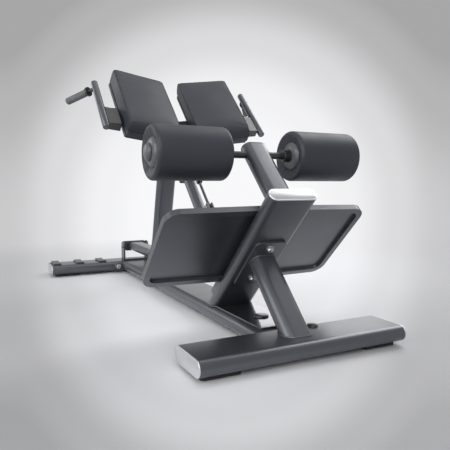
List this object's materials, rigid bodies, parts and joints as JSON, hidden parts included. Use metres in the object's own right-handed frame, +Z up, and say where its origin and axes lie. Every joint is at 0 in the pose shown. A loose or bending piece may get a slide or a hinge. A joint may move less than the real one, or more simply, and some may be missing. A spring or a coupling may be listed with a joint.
{
  "type": "hyperextension bench",
  "caption": "Forty-five degree back extension bench with sliding split hip pads, side handles, foam ankle rollers and a wide footplate on a flat-oval tube frame.",
  "frame": {"origin": "on the floor, under the middle of the bench's overall length and width", "axes": "+Z up, +Y forward from the ankle rollers to the hip pads, +X to the right of someone facing +Y"},
  "size_m": [0.825, 1.616, 0.8613],
  "materials": {
    "frame_paint": "satin charcoal powder coat",
    "cover_gloss": "gloss dark lacquer",
    "cap_silver": "satin silver",
    "bolt_steel": "zinc plated",
    "dark_steel": "blackened",
    "black_plastic": "moulded matt",
    "rubber": "matt",
    "grip_rubber": "ribbed light grey",
    "upholstery": "fine grain, satin",
    "plywood": "bare ply"
  },
  "bodies": {
    "frame": {"rear_base_tube": "frame_paint", "front_base_tube": "frame_paint", "floor_rail": "frame_paint", "post": "frame_paint", "strut": "frame_paint", "footplate": "frame_paint", "footplate_bracket": "frame_paint", "roller_arm": "frame_paint", "beam": "frame_paint", "beam_socket": "frame_paint", "column": "frame_paint", "front_yoke": "frame_paint", "gas_bracket": "frame_paint", "rail_cover_plate": "cover_gloss", "end_cap_rear_left": "cap_silver", "end_cap_rear_right": "cap_silver", "end_cap_front_left": "cap_silver", "end_cap_front_right": "cap_silver", "end_cap_post": "cap_silver", "end_cap_arm": "cap_silver", "rail_bolt_left": "bolt_steel", "rail_bolt_right": "bolt_steel", "plate_bolt_lower": "bolt_steel", "plate_bolt_upper": "bolt_steel", "yoke_bolt": "bolt_steel", "gas_lower_pin": "bolt_steel", "roller_axle": "dark_steel", "gas_rod": "dark_steel", "axle_cap_left": "black_plastic", "axle_cap_right": "black_plastic", "beam_end_plug": "black_plastic", "rail_cover_disc": "black_plastic", "foot_rear_left": "rubber", "foot_rear_right": "rubber", "foot_front_left": "rubber", "foot_front_right": "rubber", "footplate_tread": "rubber", "foot_bush": "rubber"},
    "carriage": {"carriage_sleeve": "frame_paint", "sleeve_liner_lower": "black_plastic", "sleeve_liner_upper": "black_plastic", "carriage_bridge": "frame_paint", "gas_body": "dark_steel", "gas_upper_pin": "bolt_steel", "pad_frame": "frame_paint", "pull_pin_housing": "bolt_steel", "pad_board_left": "plywood", "pad_board_right": "plywood", "hip_pad_left": "upholstery", "hip_pad_right": "upholstery", "handle_left": "frame_paint", "handle_right": "frame_paint", "grip_left": "grip_rubber", "grip_right": "grip_rubber"},
    "pull_pin": {"pull_pin_plunger": "bolt_steel", "pull_pin_knob": "black_plastic"},
    "roller_left": {"roller_spool_left": "black_plastic", "roller_cushion_left": "upholstery"},
    "roller_right": {"roller_spool_right": "black_plastic", "roller_cushion_right": "upholstery"}
  },
  "joints": [
    {"name": "carriage_slide", "type": "slide", "parent": "frame", "child": "carriage", "axis": [0, 0.7071, 0.7071], "range_m": [-0.09, 0.09]},
    {"name": "pin_pull", "type": "slide", "parent": "carriage", "child": "pull_pin", "axis": [1, 0, 0], "range_m": [0, 0.012], "stiffness_N_per_m": 800, "springref_m": -0.01},
    {"name": "roller_left_spin", "type": "hinge", "parent": "frame", "child": "roller_left", "pos_m": [-0.214, -0.52496, 0.52199], "axis": [1, 0, 0], "continuous": true},
    {"name": "roller_right_spin", "type": "hinge", "parent": "frame", "child": "roller_right", "pos_m": [0.214, -0.52496, 0.52199], "axis": [1, 0, 0], "continuous": true}
  ]
}
